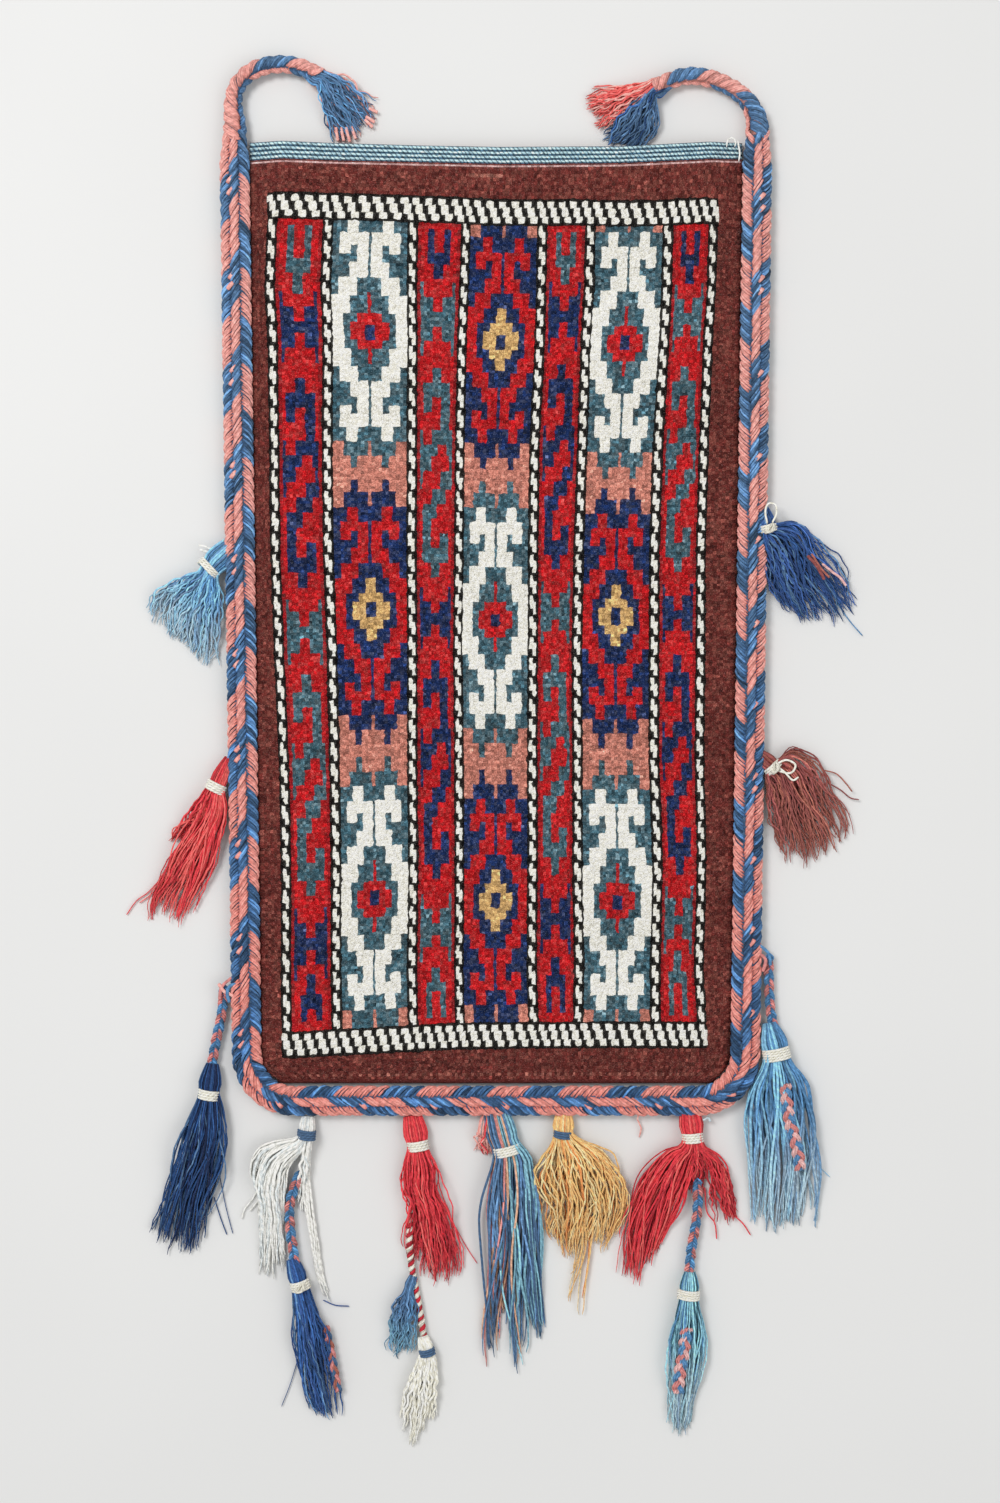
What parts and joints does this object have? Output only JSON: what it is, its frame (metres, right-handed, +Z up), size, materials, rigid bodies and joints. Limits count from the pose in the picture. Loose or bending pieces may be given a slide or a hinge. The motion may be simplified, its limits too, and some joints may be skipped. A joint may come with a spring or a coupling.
{
  "type": "spindle bag",
  "caption": "Flat knotted-pile spindle bag, open at the mouth, with a plaited edge cord, two ties and hanging wool tassels.",
  "frame": {"origin": "middle of the woven back, on the flat face that the bag lies on", "axes": "+Z up out of the pile face, +Y from the folded foot to the open mouth, +X to the right when looking at the pile face with the mouth at the top"},
  "size_m": [0.3969, 0.7699, 0.0137],
  "materials": {
    "pile_wool": "knotted wool pile on a plain woven ground",
    "plait_wool": "plaited plied wool, salmon and blue",
    "sky_yarn": "plied wool, light blue",
    "coral_yarn": "plied wool, coral red",
    "ink_yarn": "plied wool, dark navy",
    "deep_blue_yarn": "plied wool, deep blue",
    "brown_yarn": "plied wool, red brown",
    "pale_yarn": "loosely spun undyed wool",
    "ochre_yarn": "plied wool, ochre",
    "teal_yarn": "plied wool, teal",
    "white_yarn": "white binding yarn",
    "cream_yarn": "cream binding yarn",
    "slate_yarn": "slate blue binding yarn",
    "cord_yarn": "plaited plied wool, pink and blue"
  },
  "bodies": {
    "root": {"bag_cloth": "pile_wool", "edge_braid": "plait_wool", "tie_left": "plait_wool", "tie_right": "plait_wool", "tie_left_tuft": "plait_wool", "tie_right_tuft": "plait_wool", "tassel_left_upper": "sky_yarn", "tassel_left_middle": "coral_yarn", "tassel_left_lower": "ink_yarn", "tassel_right_upper": "deep_blue_yarn", "tassel_right_middle": "brown_yarn", "tassel_right_lower": "sky_yarn", "tassel_foot_1": "pale_yarn", "tassel_foot_1_low": "deep_blue_yarn", "tassel_foot_2": "coral_yarn", "tassel_foot_2_small": "sky_yarn", "tassel_foot_2_low": "pale_yarn", "tassel_foot_3": "sky_yarn", "tuft_foot_3": "plait_wool", "tassel_foot_4": "ochre_yarn", "tassel_foot_5": "coral_yarn", "tassel_foot_5_low": "teal_yarn", "wrap_left_upper": "white_yarn", "wrap_left_middle": "cream_yarn", "wrap_left_lower": "white_yarn", "wrap_right_upper": "white_yarn", "wrap_right_middle": "cream_yarn", "wrap_right_lower": "white_yarn", "wrap_foot_1": "slate_yarn", "wrap_foot_1_low": "cream_yarn", "wrap_foot_2": "cream_yarn", "wrap_foot_2_low": "slate_yarn", "wrap_foot_3": "white_yarn", "wrap_foot_4": "slate_yarn", "wrap_foot_5": "cream_yarn", "wrap_foot_5_low": "cream_yarn", "cord_left_lower": "cord_yarn", "cord_right_lower": "cord_yarn", "cord_foot_1": "cord_yarn", "cord_foot_2": "cord_yarn", "cord_foot_5": "cord_yarn"}
  },
  "joints": []
}
